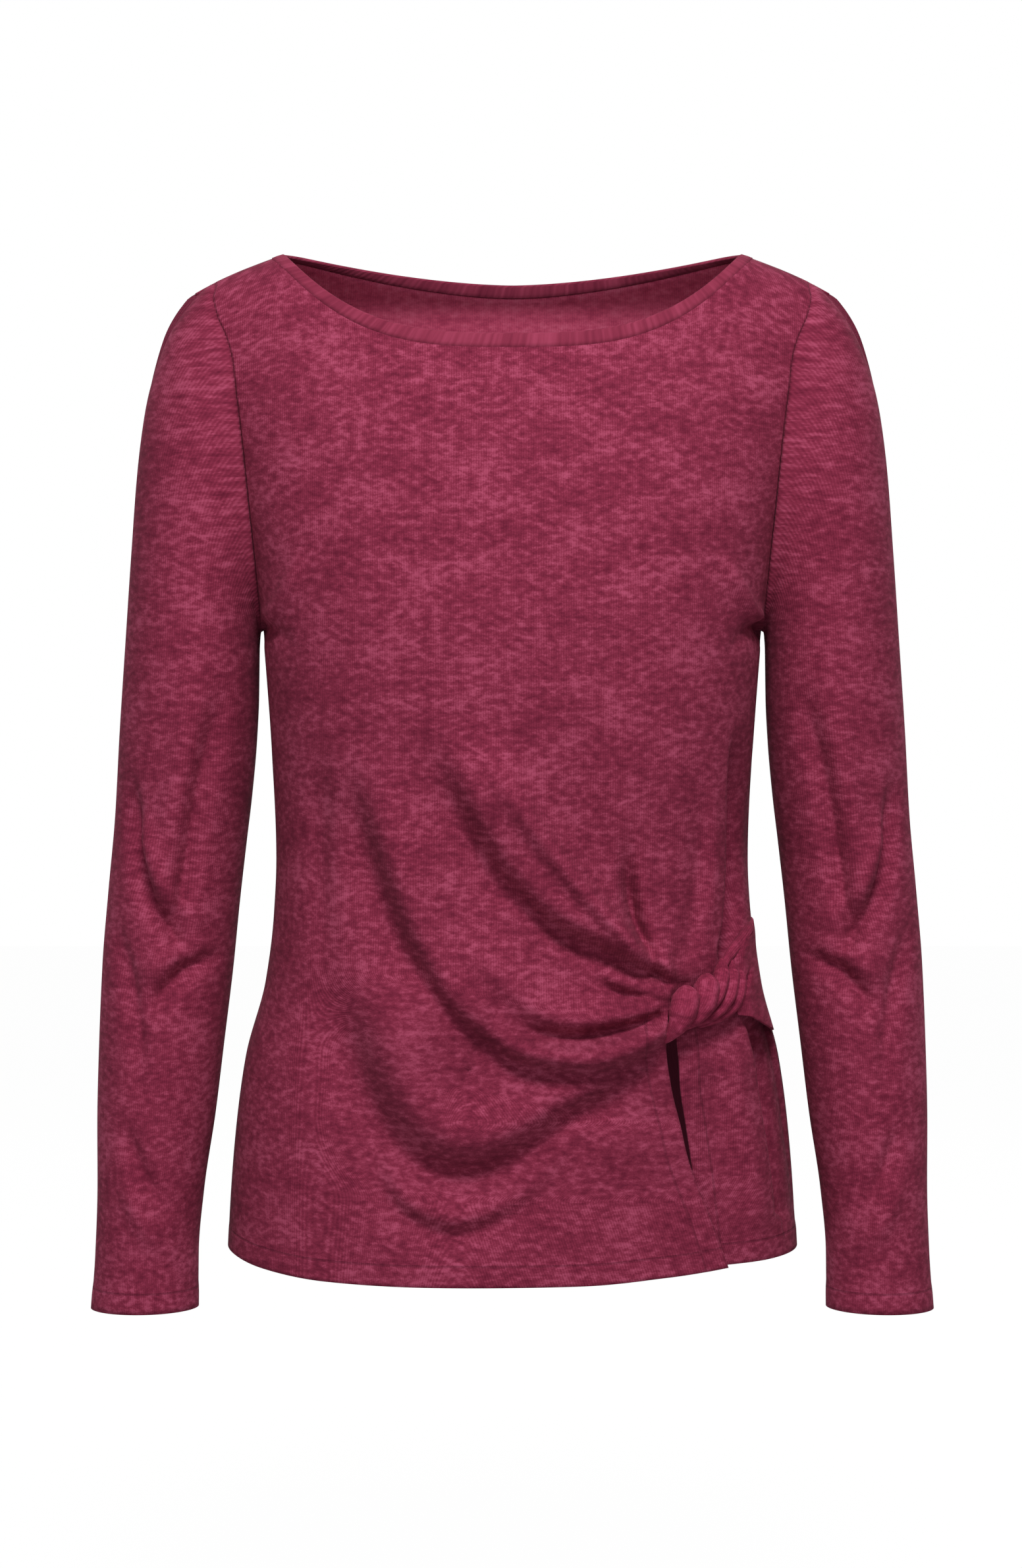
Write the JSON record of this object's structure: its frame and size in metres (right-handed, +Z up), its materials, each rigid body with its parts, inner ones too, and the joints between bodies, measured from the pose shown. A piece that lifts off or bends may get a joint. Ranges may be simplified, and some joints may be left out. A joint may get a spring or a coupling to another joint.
{
  "type": "boat neck top",
  "caption": "Long-sleeved jersey top with a wide boat neck, a narrow neck binding and a drape gathered into a twist knot at one hip, filled out as if worn.",
  "frame": {"origin": "midway between the two neck points, where the shoulder seams meet the neckline, on the wearer's shoulders", "axes": "+Z up the wearer, +X towards the wearer's left, -Y to the front"},
  "size_m": [0.5076, 0.2428, 0.6339],
  "materials": {
    "jersey": "matte streaky raspberry rib jersey",
    "binding": "matte raspberry jersey, folded",
    "knot_cloth": "matte raspberry jersey, twisted"
  },
  "bodies": {
    "root": {"front": "jersey", "back": "jersey", "sleeve_left": "jersey", "sleeve_right": "jersey", "neck_binding": "binding", "side_tab": "knot_cloth", "knot": "knot_cloth"}
  },
  "joints": []
}
